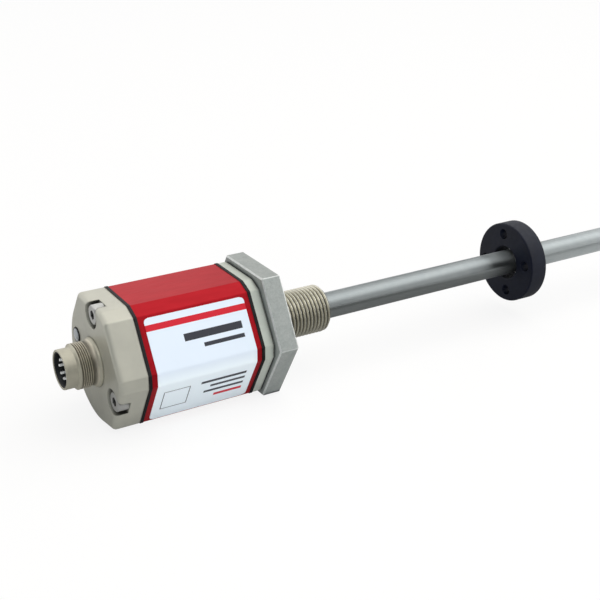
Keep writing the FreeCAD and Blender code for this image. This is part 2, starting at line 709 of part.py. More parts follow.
# Status light: window flush with the cap, lamp behind it
lens = tube("status_window", CAP_FACE, CAP_FACE + " + lens_depth", "(lens_size - 2 * weld_gap)")
LAMP_REAR = CAP_FACE + " + lens_depth + weld_gap"
LAMP_END = CAP_FACE + " + lens_depth + lamp_depth"
lamp = turned("status_lamp", [
    (LAMP_REAR, "0"),
    (LAMP_END, "0"),
    (LAMP_END, "lens_size / 2 - seat_gap"),
    (LAMP_END + " - lamp_foot", "lens_size / 2 - seat_gap"),
    (LAMP_END + " - lamp_foot", "lamp_size / 2"),
    (LAMP_REAR + " + fine_edge", "lamp_size / 2"),
    (LAMP_REAR, "lamp_size / 2 - fine_edge"),
])
for piece in (lens, lamp):
    bind(piece, "Placement.Base.y", LENS_ACROSS)
    bind(piece, "Placement.Base.z", LENS_UP)


# Label: a thin skin over the label facet, the nose and the lower front facet
def label_skin():
    """Strip of even thickness bent over three facets, with rounded corners."""
    skin = value("label_skin")
    top = Vector(0, -value("label_top_out"), value(LABEL_TOP))
    knee = Vector(0, -value("label_low_out"), value("label_low_height"))
    nose = Vector(0, -value("label_low_out"), -value("nose_drop"))
    foot = Vector(0, -value("foot_out"), -value(FOOT_DROP))
    upper = top + (knee - top).normalize() * value("label_top_margin")
    lower = foot + (nose - foot).normalize() * value("label_foot_margin")
    inner = [upper, knee, nose, lower]

    def facing_out(a, b):
        along = (b - a).normalize()
        return Vector(0, along.z, -along.y)

    normals = [facing_out(a, b) for a, b in zip(inner, inner[1:])]
    outer = [upper + normals[0] * skin]
    for corner, one, two in ((knee, normals[0], normals[1]), (nose, normals[1], normals[2])):
        outer.append(corner + (one + two) * (skin / (1 + one.dot(two))))
    outer.append(lower + normals[2] * skin)
    loop = inner + outer[::-1]
    near = value(SHELL_REAR + " + label_start")
    length = value("shell_length - 2 * label_start")
    wire = Part.makePolygon([p + Vector(near, 0, 0) for p in loop + loop[:1]])
    strip = Part.Face(wire).extrude(Vector(length, 0, 0))
    corners = [e for e in strip.Edges
               if e.Length < skin * 1.01
               and (max(v.Z for v in e.Vertexes) > upper.z - skin
                    or min(v.Z for v in e.Vertexes) < lower.z + skin)]
    return strip.makeFillet(value("label_corner"), corners)


label = doc.addObject("Part::Feature", "label")
label.Label = "label"
label.Shape = label_skin()
label.Placement = Placement()

# Chassis: two plates seated between the screw channels, joined by rails that carry the board
CHASSIS_REAR = SHELL_REAR + " + chassis_margin"
CHASSIS_FRONT = COVER_REAR + " - spigot_end - chassis_margin"
BOARD_TOP = "-head_width / 2 - 2 * seat_gap"
BOARD_UNDER = BOARD_TOP + " - board_skin"
RAIL_TOP = BOARD_UNDER + " - seat_gap"
RAIL_OUT = BOARD_WIDTH + " / 2 - rail_inset"
chassis = new_body("chassis")
for place in (CHASSIS_REAR, CHASSIS_FRONT + " - chassis_plate"):
    plate_sketch = sketch_on(chassis, "YZ_Plane", place)
    circle(plate_sketch, CHASSIS_SIZE)
    circle(plate_sketch, "chassis_eye")
    pad(chassis, plate_sketch, "chassis_plate")
    if place == CHASSIS_REAR:
        rail_sketch = sketch_on(chassis, "YZ_Plane", CHASSIS_REAR)
        for near, far in ((RAIL_OUT + " - rail_width", RAIL_OUT),
                          (minus(RAIL_OUT), minus(RAIL_OUT) + " + rail_width")):
            polygon(rail_sketch, [(near, RAIL_TOP + " - rail_depth"),
                                  (far, RAIL_TOP + " - rail_depth"),
                                  (far, RAIL_TOP), (near, RAIL_TOP)])
        pad(chassis, rail_sketch, CHASSIS_FRONT + " - (%s)" % CHASSIS_REAR)


def block(label, start, length, middle, width, floor, height):
    """Rectangular block from its start along X, its middle across and its floor."""
    box = doc.addObject("Part::Box", label)
    box.Label = label
    bind(box, "Length", length)
    bind(box, "Width", width)
    bind(box, "Height", height)
    bind(box, "Placement.Base.x", start)
    bind(box, "Placement.Base.y", "%s - (%s) / 2" % (middle, width))
    bind(box, "Placement.Base.z", floor)
    doc.recompute()
    return box


BOARD_REAR = CHASSIS_REAR + " + chassis_plate + seat_gap"
BOARD_FRONT = CHASSIS_FRONT + " - chassis_plate - seat_gap"
ON_BOARD = BOARD_TOP + " + weld_gap"
board = block("circuit_board", BOARD_REAR, BOARD_FRONT + " - (%s)" % BOARD_REAR, "0",
              BOARD_WIDTH, BOARD_UNDER, "board_skin")

# Pickup: bobbin round the waveguide, its winding and the bias magnet beside it
HEAD_FRONT = BOARD_FRONT + " - head_margin"
HEAD_REAR = HEAD_FRONT + " - head_length"
bobbin = turned("pickup_bobbin", [
    (HEAD_REAR, "guide_size / 2 + weld_gap"),
    (HEAD_FRONT, "guide_size / 2 + weld_gap"),
    (HEAD_FRONT, "head_width / 2"),
    (HEAD_FRONT + " - head_flange", "head_width / 2"),
    (HEAD_FRONT + " - head_flange", "head_core / 2"),
    (HEAD_REAR + " + head_flange", "head_core / 2"),
    (HEAD_REAR + " + head_flange", "head_width / 2"),
    (HEAD_REAR, "head_width / 2"),
])
winding = tube("pickup_winding", HEAD_REAR + " + head_flange + weld_gap",
               HEAD_FRONT + " - head_flange - weld_gap", "coil_size",
               "(head_core + 2 * weld_gap)")
bias_magnet = block("bias_magnet", HEAD_REAR + " + head_flange", "bias_length",
                    "head_width / 2 + seat_gap + bias_width / 2", "bias_width",
                    ON_BOARD, "bias_width")

# Return conductor, from the pickup to the end contact
return_wire = tube("return_conductor", HEAD_FRONT + " + seat_gap", GUIDE_END, "return_size")
bind(return_wire, "Placement.Base.z", "return_offset")

# Terminal that takes the connector's leads, and the leads themselves
TERMINAL_REAR = BOARD_REAR + " + terminal_margin"
terminal = block("lead_terminal", TERMINAL_REAR, "terminal_depth", "0", "terminal_width",
                 ON_BOARD, "head_width / 2 + terminal_width / 2")
LEAD_START = TAIL_END + " + pin_tail + weld_gap"
lead = tube("lead", LEAD_START, TERMINAL_REAR + " - weld_gap", "lead_size")
leads = copies("connector_leads", lead, [at_pin(t) for t in PIN_TURNS])

# Amplifier under its shield can, processor, memory and two capacitors
CAN_REAR = TERMINAL_REAR + " + max(terminal_depth; capacitor_size) + part_gap"
CAN_LENGTH = "(%s - part_gap - (%s))" % (HEAD_REAR, CAN_REAR)
can_outer = block("can_outer", CAN_REAR, CAN_LENGTH, "0", "can_width", ON_BOARD, "can_height")
can_inner = block("can_inner", CAN_REAR + " + can_skin", CAN_LENGTH + " - 2 * can_skin", "0",
                  "can_width - 2 * can_skin", ON_BOARD, "can_height - can_skin")
can = doc.addObject("Part::Cut", "shield_can")
can.Label = "shield_can"
can.Base = can_outer
can.Tool = can_inner
amplifier = block("amplifier", CAN_REAR + " + %s / 4" % CAN_LENGTH, CAN_LENGTH + " / 2", "0",
                  "can_width / 2", ON_BOARD, "chip_height")
processor = block("processor", CAN_REAR, "chip_size", "0", "chip_size",
                  BOARD_UNDER + " - weld_gap - chip_height", "chip_height")


def capacitor(label, side):
    """Round capacitor standing on the board beside the terminal."""
    can_shape = doc.addObject("Part::Cylinder", label)
    can_shape.Label = label
    bind(can_shape, "Radius", "capacitor_size / 2")
    bind(can_shape, "Height", "capacitor_height")
    bind(can_shape, "Placement.Base.x", TERMINAL_REAR + " + capacitor_size / 2")
    bind(can_shape, "Placement.Base.y",
         side + "(terminal_width / 2 + part_gap + capacitor_size / 2)")
    bind(can_shape, "Placement.Base.z", ON_BOARD)
    doc.recompute()
    return can_shape


capacitors = doc.addObject("Part::Compound", "capacitors")
capacitors.Label = "capacitors"
capacitors.Links = [capacitor("capacitor_far", ""), capacitor("capacitor_near", "-")]

# Ring magnet that slides along the rod
RING_REAR = "ring_at - ring_depth / 2"
ring = new_body("position_magnet")
ring_sketch = sketch_on(ring, "YZ_Plane", RING_REAR)
circle(ring_sketch, "ring_size")
circle(ring_sketch, "ring_bore")
pad(ring, ring_sketch, "ring_depth")
for face in (RING_REAR, RING_REAR + " + ring_depth"):
    dress(ring, "Fillet", "Radius", "ring_edge", value(face))
hole_sketch = sketch_on(ring, "YZ_Plane", RING_REAR)
for quarter in range(4):
    turn = "(ring_turn + %d)" % (90 * quarter)
    circle(hole_sketch, "ring_hole", "ring_circle / 2 * sin%s" % turn,
           "ring_circle / 2 * cos%s" % turn)
pocket(ring, hole_sketch, "ring_depth")

doc.recompute()

# The pieces that make up the part, in order along the axis
PIECES = [
    connector, insert, pins, washer, nut, leads, cap, cap_screws, lens, lamp, gasket_near,
    shell, label, gasket_far, cover, cover_screws, clamp_nut, chassis, board, terminal, can,
    amplifier, processor, capacitors, bobbin, winding, bias_magnet, flange, flange_seal, rod,
    rod_tip, waveguide, guide_sleeve, spacers, damper, end_contact, return_wire, ring,
]

for thing in doc.Objects:
    if {"Invalid", "Error"} & set(thing.State):
        raise RuntimeError("%s failed: %s" % (thing.Label, thing.State))
for piece in PIECES:
    shape = piece.Shape
    if shape.isNull() or not shape.isValid() or not shape.Solids:
        raise RuntimeError("%s has no valid solid" % piece.Label)

os.makedirs("parts", exist_ok=True)
for piece in PIECES:
    piece.Shape.exportStep("parts/%s.step" % piece.Label)
print("%d pieces written" % len(PIECES))
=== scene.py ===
import json
import math

import bmesh
import bpy
from mathutils import Matrix, Vector


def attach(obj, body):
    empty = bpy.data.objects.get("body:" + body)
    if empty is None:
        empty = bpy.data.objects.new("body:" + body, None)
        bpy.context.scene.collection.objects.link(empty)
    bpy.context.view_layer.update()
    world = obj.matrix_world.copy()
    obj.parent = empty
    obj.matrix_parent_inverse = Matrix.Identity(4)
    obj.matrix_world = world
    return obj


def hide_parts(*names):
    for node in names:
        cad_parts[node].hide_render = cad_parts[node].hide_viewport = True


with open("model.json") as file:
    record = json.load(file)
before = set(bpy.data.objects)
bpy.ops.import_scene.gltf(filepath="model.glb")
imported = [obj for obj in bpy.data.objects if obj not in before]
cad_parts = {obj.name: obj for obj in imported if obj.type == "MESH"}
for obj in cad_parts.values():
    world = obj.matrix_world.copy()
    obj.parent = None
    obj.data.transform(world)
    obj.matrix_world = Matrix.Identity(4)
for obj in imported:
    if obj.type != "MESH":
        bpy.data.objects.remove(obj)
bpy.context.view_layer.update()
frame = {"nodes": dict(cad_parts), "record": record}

MM = 0.001

# Sizes that the pieces made here share with the frame
HEX_REAR, FLANGE_FLAT, FLANGE_EDGE = -7.5, 23.0, 0.5
SPIGOT_END, SPIGOT_R, ROD_SEAT = -17.0, 7.0, -6.0
SPIGOT_BEVEL, BORE_BEVEL = 0.4, 0.3
STUB_END, STUB_R, STUB_PITCH, STUB_DEPTH = 25.0, 9.0, 1.5, 0.92
RELIEF_R, RELIEF_END, FACE_RELIEF_R, FACE_RELIEF = 7.7, 2.6, 10.5, 0.4
ROD_HOLE_R, ROD_R, ROD_BORE_R, TUBE_END = 5.05, 5.0, 3.5, 261.5
CAP_FACE, PLUG_RIM, TAIL_END = -65.6, -77.9, -57.0
PLUG_BORE_R, SLEEVE_R, PLUG_THREAD_R, TAIL_R = 6.2, 7.0, 8.0, 7.0
PLUG_PITCH, PLUG_DEPTH, PLUG_THREAD_FRONT, PLUG_THREAD_REAR = 0.75, 0.42, -72.8, -68.8
NECK_R, COLLAR_R, NECK_END = 7.6, 8.7, -66.9
WINDOW_AT = (15.165, 4.063)
HEX_ROUNDING, HEX_STEPS = 0.45, 13
ANGLE_30, ANGLE_60 = math.radians(30), math.radians(60)
ROD_COUNT, CONNECTOR_COUNT, LINER_COUNT, WINDOW_COUNT = 144, 112, 72, 56  # points in a ring


# Meshes
def mesh_object(name, points, faces, smooth_below=32):
    """Object from points in millimetres; edges sharper than the given angle stay crisp."""
    mesh = bpy.data.meshes.new(name)
    mesh.from_pydata([(x * MM, y * MM, z * MM) for x, y, z in points], [], faces)
    bm = bmesh.new()
    bm.from_mesh(mesh)
    bmesh.ops.recalc_face_normals(bm, faces=bm.faces)
    bm.to_mesh(mesh)
    bm.free()
    mesh.polygons.foreach_set("use_smooth", [True] * len(mesh.polygons))
    mesh.set_sharp_from_angle(angle=math.radians(smooth_below))
    piece = bpy.data.objects.new(name, mesh)
    bpy.context.scene.collection.objects.link(piece)
    return piece


def closed_turning(name, rings):
    """Closed skin through rings of points; the last ring joins the first again."""
    count = len(rings[0])
    points = [p for ring in rings for p in ring]
    faces = []
    for i in range(len(rings)):
        a, b = i * count, ((i + 1) % len(rings)) * count
        for k in range(count):
            n = (k + 1) % count
            faces.append((a + k, a + n, b + n, b + k))
    return mesh_object(name, points, faces)


def rings_of(angles, profile, middle=(0.0, 0.0)):
    """Rings of points round an axis along the rod, one for each (x, radius) of the profile.
    A radius is a number or a function of the angle; middle is the axis's (y, z)."""
    rings = []
    for x, radius in profile:
        made = []
        for a in angles:
            r = radius(a) if callable(radius) else radius
            made.append((x, middle[0] + r * math.cos(a), middle[1] + r * math.sin(a)))
        rings.append(made)
    return rings


def even_angles(count):
    return [2 * math.pi * k / count for k in range(count)]


THREAD_CREST, THREAD_FLANK = 0.14, 0.70  # shares of half a turn
THREAD_ROUND = 0.35  # how much of the flank's slope eases in and out


def thread_rings(start, end, crest, depth, pitch, angles, per_turn, lead_in, lead_out):
    """Rings of a real helical thread with rounded crests and roots, and bevelled ends."""
    steps = int(math.ceil((end - start) / pitch * per_turn))
    rings = []
    for j in range(steps + 1):
        x = start + (end - start) * j / steps
        made = []
        for a in angles:
            turn = (x / pitch - a / (2 * math.pi)) % 1.0
            rise = abs(turn - 0.5) * 2
            cut = min(1.0, max(0.0, (rise - THREAD_CREST) / THREAD_FLANK))
            cut = cut * cut * (3 - 2 * cut) * THREAD_ROUND + cut * (1 - THREAD_ROUND)
            r = crest - depth * cut
            r = min(r, crest - lead_in + (x - start), crest - lead_out + (end - x))
            made.append((x, r * math.cos(a), r * math.sin(a)))
        rings.append(made)
    return rings


# Materials
def srgb(r, g, b):
    """Colour written in the usual 0 to 255 numbers, as linear light."""
    def lin(c):
        c /= 255.0
        return c / 12.92 if c <= 0.04045 else ((c + 0.055) / 1.055) ** 2.4
    return (lin(r), lin(g), lin(b), 1.0)


class Graph:
    """Small helper that adds and joins nodes in one tree."""

    def __init__(self, tree):
        self.tree = tree

    def node(self, kind, **settings):
        made = self.tree.nodes.new(kind)
        for key, number in settings.items():
            setattr(made, key, number)
        return made

    def link(self, out, into):
        self.tree.links.new(out, into)

    def put(self, socket, number):
        if isinstance(number, bpy.types.NodeSocket):
            self.link(number, socket)
        else:
            socket.default_value = number

    def math(self, operation, a, b=0.0, c=0.0):
        made = self.node("ShaderNodeMath", operation=operation)
        for socket, number in zip(made.inputs, (a, b, c)):
            self.put(socket, number)
        return made.outputs[0]

    def dot(self, vector, other):
        made = self.node("ShaderNodeVectorMath", operation="DOT_PRODUCT")
        for socket, number in zip(made.inputs, (vector, other)):
            self.put(socket, number)
        return made.outputs["Value"]

    def spread(self, fac, low, high, start=0.3, end=0.7, ease="LINEAR"):
        """A number from low to high as fac goes from start to end."""
        made = self.node("ShaderNodeMapRange", interpolation_type=ease)
        self.link(fac, made.inputs["Value"])
        limits = {"From Min": start, "From Max": end, "To Min": low, "To Max": high}
        for key, number in limits.items():
            made.inputs[key].default_value = number
        return made.outputs[0]

    def mix(self, fac, one, two):
        """A colour between one and two; the node keeps its colours in sockets 6 and 7."""
        made = self.node("ShaderNodeMix", data_type="RGBA")
        for socket, number in ((0, fac), (6, one), (7, two)):
            self.put(made.inputs[socket], number)
        return made.outputs[2]


class Shader(Graph):
    """A material with one Principled surface."""

    def __init__(self, name, **uniform):
        self.material = bpy.data.materials.new(name)
        self.material.use_nodes = True
        super().__init__(self.material.node_tree)
        self.surface = self.tree.nodes["Principled BSDF"]
        for key, number in uniform.items():
            self.surface.inputs[key.replace("_", " ")].default_value = number
        self.place = None  # the piece's own coordinates, once asked for
        self.soft = None  # normals softened at edges, once asked for

    def position(self):
        """The piece's own coordinates, in metres."""
        if self.place is None:
            self.place = self.node("ShaderNodeTexCoord").outputs["Object"]
        return self.place

    def stretched(self, x=1.0, y=1.0, z=1.0):
        made = self.node("ShaderNodeMapping")
        made.inputs["Scale"].default_value = (x, y, z)
        self.link(self.position(), made.inputs["Vector"])
        return made.outputs[0]

    def noise(self, scale, detail=3.0, roughness=0.55, vector=None):
        """Noise whose grain is about 1 / scale metres."""
        made = self.node("ShaderNodeTexNoise")
        made.inputs["Scale"].default_value = scale
        made.inputs["Detail"].default_value = detail
        made.inputs["Roughness"].default_value = roughness
        self.link(vector or self.position(), made.inputs["Vector"])
        return made.outputs["Fac"]

    def colour(self, out):
        self.link(out, self.surface.inputs["Base Color"])

    def rough(self, out):
        self.link(out, self.surface.inputs["Roughness"])

    def softened(self, radius):
        """Normals that turn gently over edges, over a radius in millimetres."""
        made = self.node("ShaderNodeBevel", samples=6)
        made.inputs["Radius"].default_value = radius * MM
        self.soft = made.outputs[0]
        return self.soft

    def edges(self, radius):
        """1 along sharp edges and 0 away from them."""
        flat = self.node("ShaderNodeNewGeometry").outputs["Normal"]
        turned_by = self.math("SUBTRACT", 1.0, self.dot(self.softened(radius), flat))
        return self.spread(turned_by, 0, 1, start=0.01, end=0.10)

    def crevices(self, reach):
        """1 in deep gaps and 0 on open surfaces, looking as far as reach in millimetres."""
        made = self.node("ShaderNodeAmbientOcclusion", samples=8)
        made.inputs["Distance"].default_value = reach * MM
        return self.spread(made.outputs["AO"], 1, 0, start=0.25, end=0.85)

    def roots(self, deep, high):
        """1 within the first radius round the rod's axis, in millimetres, and 0 past the other."""
        split = self.node("ShaderNodeSeparateXYZ")
        self.link(self.position(), split.inputs[0])
        across, up = (self.math("MULTIPLY", out, out) for out in split.outputs[1:])
        away = self.math("SQRT", self.math("ADD", across, up))
        return self.spread(away, 1, 0, start=deep * MM, end=high * MM)

    def bump(self, height, distance):
        """Fine relief, distance in metres, over the softened normals if there are any."""
        made = self.node("ShaderNodeBump")
        made.inputs["Distance"].default_value = distance
        self.link(height, made.inputs["Height"])
        if self.soft:
            self.link(self.soft, made.inputs["Normal"])
        self.link(made.outputs[0], self.surface.inputs["Normal"])


GAP_REACH = 3.0


def coated(name, one, two, roughness, metallic=0.0, grain=5200, depth=6e-6, edge=0.3,
           grime=None, **uniform):
    """Painted or moulded surface: two near tones, fine grain in relief, uneven gloss.
    With a shade colour, gaps get painted shade and are dull."""
    s = Shader(name, Metallic=metallic, **uniform)
    s.softened(edge)
    tone = s.mix(s.spread(s.noise(140), 0, 1), one, two)
    gloss = s.spread(s.noise(420, 4), roughness - 0.05, roughness + 0.06)
    if grime:
        # Painted shade: gaps are darkened towards the shade colour and made dull
        gaps = s.crevices(GAP_REACH)
        tone = s.mix(s.math("MULTIPLY", gaps, 0.85), tone, grime)
        gloss = s.math("MAXIMUM", gloss, s.spread(gaps, 0.0, 0.95, start=0.0, end=0.7))
    s.colour(tone)
    s.rough(gloss)
    s.bump(s.noise(grain, 2), depth)
    return s.material


CAST_PIT = (0.12, 0.13, 0.13, 1)


def metal(name, one, two, roughness, grain, spots=(1, 1, 1), marks=9000, depth=2e-6, edge=0.2,
          worn=None, grime=None, reach=0.6, roots=None, cast=0.0, metallic=1.0, **uniform):
    """Worked metal: fine marks along grain, patches of a near tone, and edges made lighter,
    partly by wear and partly as a painted highlight. cast adds a coarser skin of that depth in
    metres; the shade colour is painted shade in gaps within reach, or in the roots of a thread
    between two radii."""
    s = Shader(name, Metallic=metallic, **uniform)
    rubbed_and_lit = s.edges(edge) if edge else None
    lines = s.noise(marks, 2, vector=s.stretched(*grain))
    tone = s.mix(s.spread(s.noise(280, 4, vector=s.stretched(*spots)), 0, 1), one, two)
    if cast:
        pits = s.spread(s.noise(1500, 3, 0.75), 0, 0.28, start=0.42, end=0.72)
        tone = s.mix(pits, tone, CAST_PIT)
    # Edges lighter: partly wear, partly a painted highlight
    if worn:
        patchy = s.spread(s.noise(900, 3), 0.35, 1)
        tone = s.mix(s.math("MULTIPLY", rubbed_and_lit, patchy), tone, worn)
    # Painted shade: gaps within reach, or the roots of a thread, darkened towards the shade colour
    if grime:
        gaps = s.roots(*roots) if roots else s.crevices(reach)
        tone = s.mix(s.math("MULTIPLY", gaps, 0.9), tone, grime)
    s.colour(tone)
    s.rough(s.spread(lines, roughness - 0.05, roughness + 0.07))
    s.bump(s.noise(1500, 4, 0.65) if cast else lines, cast or depth)
    if "Anisotropic" in uniform:
        round_the_rod = s.node("ShaderNodeTangent", direction_type="RADIAL", axis="X")
        s.link(round_the_rod.outputs[0], s.surface.inputs["Tangent"])
    return s.material


ROUND_THE_ROD = (1, 0.02, 0.02)
ALONG_THE_ROD = (0.015, 1, 1)


def turned_metal(name, one, two, roughness, **options):
    return metal(name, one, two, roughness, ROUND_THE_ROD, **options)


def drawn_metal(name, one, two, roughness, **options):
    return metal(name, one, two, roughness, ALONG_THE_ROD, spots=(0.3, 1, 1), **options)


FILM_SPAN = 100  # millimetres of film to one unit of its flat coordinates


def printed_film():
    """Pale label film with plain printed fields, laid out in the film's own millimetres."""
    s = Shader("printed_film", Roughness=0.34, Metallic=0.0, Specular_IOR_Level=0.4)
    uv = s.node("ShaderNodeUVMap", uv_map="film")
    split = s.node("ShaderNodeSeparateXYZ")
    s.link(uv.outputs[0], split.inputs[0])
    u, v = (s.math("MULTIPLY", out, FILM_SPAN) for out in split.outputs[:2])

    def field(u0, u1, v0, v1):
        """1 inside the rectangle, 0 outside."""
        across = s.math("COMPARE", u, (u0 + u1) / 2, (u1 - u0) / 2)
        down = s.math("COMPARE", v, (v0 + v1) / 2, (v1 - v0) / 2)
        return s.math("MULTIPLY", across, down)

    def all_of(fields):
        total = fields[0]
        for one in fields[1:]:
            total = s.math("MAXIMUM", total, one)
        return total

    # Painted light: the film is lighter on its lower facets, to make up for the shade they get
    lower_facets_painted_lighter = s.spread(v, 0, 1, start=19.0, end=23.0)
    film = s.mix(lower_facets_painted_lighter, srgb(223, 234, 247), srgb(238, 248, 255))
    film = s.mix(s.spread(s.noise(90), 0, 0.03), film, srgb(200, 208, 220))
    ends = 34.5  # where the printed lines stop along the rod
    red = all_of([field(0, LABEL_LONG, 2.4, 4.6), field(23.5, ends, 36.6, 38.0)])
    dark = all_of([field(12.5, ends, 8.0, 10.6), field(19.0, ends, 12.4, 13.8),
                   field(17.0, ends, 27.6, 28.9), field(21.0, ends, 30.6, 31.8),
                   field(19.0, ends, 33.6, 34.8)])
    box = s.math("SUBTRACT", field(3.0, 13.0, 28.0, 38.0), field(3.35, 12.65, 28.35, 37.65))
    inked = s.mix(red, film, srgb(206, 36, 52))
    inked = s.mix(dark, inked, srgb(58, 60, 68))
    inked = s.mix(box, inked, srgb(96, 99, 108))
    s.colour(inked)
    s.bump(s.noise(2600, 2), 3e-6)
    return s.material


# Label film: its facets' corners as (y, z), seen along the rod
LABEL_LONG = 37.6
LABEL_NEAR = -52.25
LABEL_SKIN = 0.15
LABEL_CORNER = 1.6
LABEL_TOP, LABEL_KNEE = (-11.9, 18.7), (-22.4, 1.5)
LABEL_NOSE, LABEL_FOOT = (-22.4, -3.1), (-12.5, -20.76)
LABEL_TOP_MARGIN, LABEL_FOOT_MARGIN = 1.1, 0.7
LABEL_ROW, LABEL_COLUMNS = 0.4, 24
BEND_REACH, BEND_STEPS = 0.55, 5  # how far each side of a corner the film starts to turn
BEND_LENGTH = 2 * BEND_REACH * 0.98  # the turn is a little shorter than the corner


def label_path(offset):
    """Points (length along the film, y, z) from its top edge down over three facets."""
    corners = [Vector(c) for c in (LABEL_TOP, LABEL_KNEE, LABEL_NOSE, LABEL_FOOT)]
    first = corners[0] + (corners[1] - corners[0]).normalized() * LABEL_TOP_MARGIN
    last = corners[3] + (corners[2] - corners[3]).normalized() * LABEL_FOOT_MARGIN
    line = [first, corners[1], corners[2], last]
    made, run = [], 0.0

    def outward(a, b):
        along = (b - a).normalized()
        return Vector((along.y, -along.x))

    def add(point, normal, length):
        made.append((length, point.x + normal.x * offset, point.y + normal.y * offset))

    at = line[0]
    for i in range(3):
        a, b = line[i], line[i + 1]
        normal = outward(a, b)
        stop = b if i == 2 else b - (b - a).normalized() * BEND_REACH
        length = (stop - at).length
        rows = max(2, int(length / LABEL_ROW))
        for k in range(rows + 1):
            if k == 0 and made:
                continue
            add(at.lerp(stop, k / rows), normal, run + length * k / rows)
        run += length
        if i < 2:
            onward = outward(b, line[i + 2])
            start = b + (line[i + 2] - b).normalized() * BEND_REACH
            for k in range(1, BEND_STEPS + 1):
                t = k / BEND_STEPS
                point = stop * (1 - t) ** 2 + b * 2 * t * (1 - t) + start * t ** 2
                turn = normal.lerp(onward, t).normalized()
                add(point, turn, run + BEND_LENGTH * t)
            run += BEND_LENGTH
            at = start
    return made


def label_film():
    """Film bent over the facets, with rounded corners and its own flat coordinates."""
    outer, inner = label_path(LABEL_SKIN), label_path(0.0)
    total = outer[-1][0]
    columns = LABEL_COLUMNS
    points, flat = [], []
    for layer in (outer, inner):
        for v, y, z in layer:
            near_edge = min(v, total - v)
            inset = 0.0
            if near_edge < LABEL_CORNER:
                left = LABEL_CORNER - near_edge
                inset = LABEL_CORNER - math.sqrt(LABEL_CORNER ** 2 - left ** 2)
            for k in range(columns + 1):
                u = inset + (LABEL_LONG - 2 * inset) * k / columns
                points.append((LABEL_NEAR + u, y, z))
                flat.append((u, v))
    rows, wide = len(outer), columns + 1
    faces = []
    for r in range(rows - 1):
        for k in range(columns):
            a = r * wide + k
            b = rows * wide + a
            faces.append((a, a + 1, a + 1 + wide, a + wide))
            faces.append((b, b + wide, b + wide + 1, b + 1))
    for r in range(rows - 1):
        for k in (0, columns):
            a = r * wide + k
            b = rows * wide + a
            faces.append((a, a + wide, b + wide, b))
    for r in (0, rows - 1):
        for k in range(columns):
            a = r * wide + k
            b = rows * wide + a
            faces.append((a, b, b + 1, a + 1))
    piece = mesh_object("label_film", points, faces, smooth_below=40)
    uv = piece.data.uv_layers.new(name="film")
    for loop in piece.data.loops:
        u, v = flat[loop.vertex_index]
        uv.data[loop.index].uv = (u / FILM_SPAN, v / FILM_SPAN)
    return piece


# Turned and milled pieces
def hexagon_corner(flat):
    """Distance of a rounded corner's middle from the axis, and half the angle that it spans."""
    reach = (flat - HEX_ROUNDING) / math.cos(ANGLE_30)
    return reach, math.atan2(HEX_ROUNDING * 0.5, reach + HEX_ROUNDING * math.cos(ANGLE_30))


def hexagon_angles():
    """Angles that put points on the hexagon's rounded corners and evenly between them."""
    edge = hexagon_corner(FLANGE_FLAT)[1]
    made = []
    for k in range(6):
        corner = math.radians(60 * k)
        made += [corner + edge * t for t in (-1, -0.5, 0, 0.5, 1)]
        gap = ANGLE_60 - 2 * edge
        made += [corner + edge + gap * t / HEX_STEPS for t in range(1, HEX_STEPS)]
    return made


def off_corner(angle):
    """Angle from the hexagon's nearest corner."""
    return (angle + ANGLE_30) % ANGLE_60 - ANGLE_30


def hexagon_radius(flat):
    """Distance of a hexagon's edge from its middle at an angle, with rounded corners."""
    reach, edge = hexagon_corner(flat)

    def at(angle):
        off = off_corner(angle)
        if abs(off) <= edge + 1e-9:
            rest = max(0.0, HEX_ROUNDING ** 2 - (reach * math.sin(off)) ** 2)
            return reach * math.cos(off) + math.sqrt(rest)
        return flat / math.cos(ANGLE_30 - abs(off))

    return at


def flange_with_thread():
    """Hexagon, threaded stub with its undercut, and rear spigot, bored for the rod."""
    angles = hexagon_angles()
    full = hexagon_radius(FLANGE_FLAT)
    less = hexagon_radius(FLANGE_FLAT - FLANGE_EDGE)
    rings = rings_of(angles, (
        (SPIGOT_END, ROD_BORE_R),
        (SPIGOT_END, SPIGOT_R - SPIGOT_BEVEL),
        (SPIGOT_END + SPIGOT_BEVEL, SPIGOT_R),
        (HEX_REAR, SPIGOT_R),
        (HEX_REAR, less),
        (HEX_REAR + FLANGE_EDGE, full),
        (-FLANGE_EDGE, full),
        (0, less),
        (0, FACE_RELIEF_R),
        (-FACE_RELIEF, FACE_RELIEF_R),
        (-FACE_RELIEF, RELIEF_R),
        (RELIEF_END, RELIEF_R),
    ))
    rings += thread_rings(RELIEF_END + 0.02, STUB_END, STUB_R, STUB_DEPTH, STUB_PITCH, angles,
                          per_turn=18, lead_in=0.9, lead_out=1.2)
    rings += rings_of(angles, (
        (STUB_END, ROD_HOLE_R + BORE_BEVEL),
        (STUB_END - BORE_BEVEL, ROD_HOLE_R),
        (ROD_SEAT, ROD_HOLE_R),
        (ROD_SEAT, ROD_BORE_R),
    ))
    return closed_turning("flange_body", rings)


def pressure_rod():
    """Tube from its seat in the flange to the end plug."""
    rings = rings_of(even_angles(ROD_COUNT), (
        (ROD_SEAT, ROD_BORE_R), (ROD_SEAT, ROD_R - BORE_BEVEL), (ROD_SEAT + BORE_BEVEL, ROD_R),
        (STUB_END, ROD_R), (TUBE_END / 2, ROD_R), (TUBE_END, ROD_R), (TUBE_END, ROD_BORE_R)))
    return closed_turning("pressure_rod", rings)


